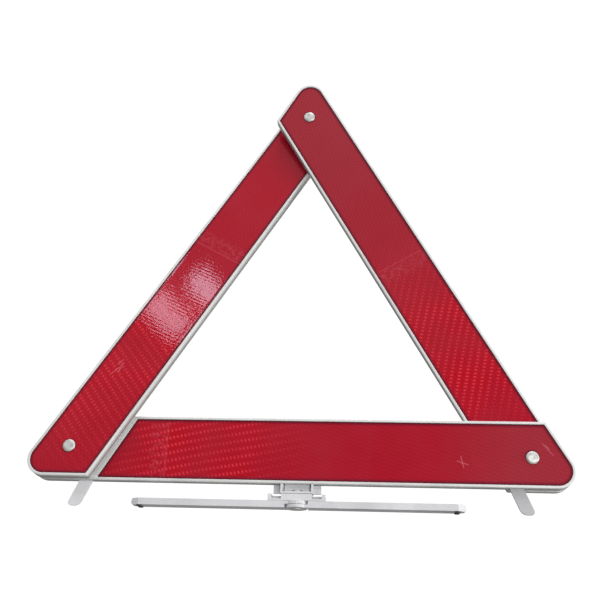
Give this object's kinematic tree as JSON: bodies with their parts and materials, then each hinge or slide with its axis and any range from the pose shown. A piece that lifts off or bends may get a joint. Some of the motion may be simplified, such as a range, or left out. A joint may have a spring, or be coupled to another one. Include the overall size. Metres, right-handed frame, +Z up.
{
  "type": "warning triangle",
  "caption": "Folding roadside warning triangle: three red reflector arms riveted into a triangle over a crossed-leg stand that folds flat under the bottom arm.",
  "frame": {"origin": "on the ground, at the middle of the bounding box's base, under the middle of the triangle", "axes": "+X to the right along the bottom arm as the sign is read, +Y from the reader through the sign, +Z up"},
  "size_m": [0.4464, 0.034, 0.4106],
  "materials": {
    "casing_plastic": "light warm grey moulded plastic, satin",
    "stand_plastic": "light cool grey moulded plastic, satin",
    "red_reflex_lens": "deep red glossy prismatic reflector",
    "rivet_metal": "dull light aluminium",
    "pad_rubber": "dusty dark rubber"
  },
  "bodies": {
    "base": {"bottom_frame": "casing_plastic", "bottom_lens": "red_reflex_lens", "bottom_back_cover": "casing_plastic", "foot_tab_left": "stand_plastic", "foot_tab_right": "stand_plastic", "stand_bracket": "stand_plastic", "bracket_screw_left": "rivet_metal", "bracket_screw_right": "rivet_metal", "stand_hub": "stand_plastic", "stand_pin": "rivet_metal"},
    "left_arm": {"left_frame": "casing_plastic", "left_lens": "red_reflex_lens", "left_back_cover": "casing_plastic", "latch_clip": "stand_plastic", "rivet_left": "rivet_metal", "rivet_washer_left": "rivet_metal", "arm_spacer_left": "stand_plastic"},
    "right_arm": {"right_frame": "casing_plastic", "right_lens": "red_reflex_lens", "right_back_cover": "casing_plastic", "latch_stud": "rivet_metal", "rivet_right": "rivet_metal", "rivet_washer_right": "rivet_metal", "arm_spacer_right": "stand_plastic"},
    "upper_leg": {"upper_leg": "stand_plastic", "upper_leg_pad_left": "pad_rubber", "upper_leg_pad_right": "pad_rubber"},
    "lower_leg": {"lower_leg": "stand_plastic", "lower_leg_pad_left": "pad_rubber", "lower_leg_pad_right": "pad_rubber"}
  },
  "joints": [
    {"name": "left_arm_swing", "type": "hinge", "parent": "base", "child": "left_arm", "pos_m": [-0.18982, -0.011, 0.0459], "axis": [0, -0.9983, 0.0584], "range_deg": [0, 300]},
    {"name": "right_arm_swing", "type": "hinge", "parent": "base", "child": "right_arm", "pos_m": [0.18982, 0.011, 0.0459], "axis": [0, 0.9983, 0.0584], "range_deg": [0, 300]},
    {"name": "upper_leg_swing", "type": "hinge", "parent": "base", "child": "upper_leg", "pos_m": [0, 0, 0.003], "axis": [0, 0, 1], "range_deg": [0, 50]},
    {"name": "lower_leg_swing", "type": "hinge", "parent": "base", "child": "lower_leg", "pos_m": [0, 0, 0.003], "axis": [0, 0, -1], "range_deg": [0, 50]}
  ]
}
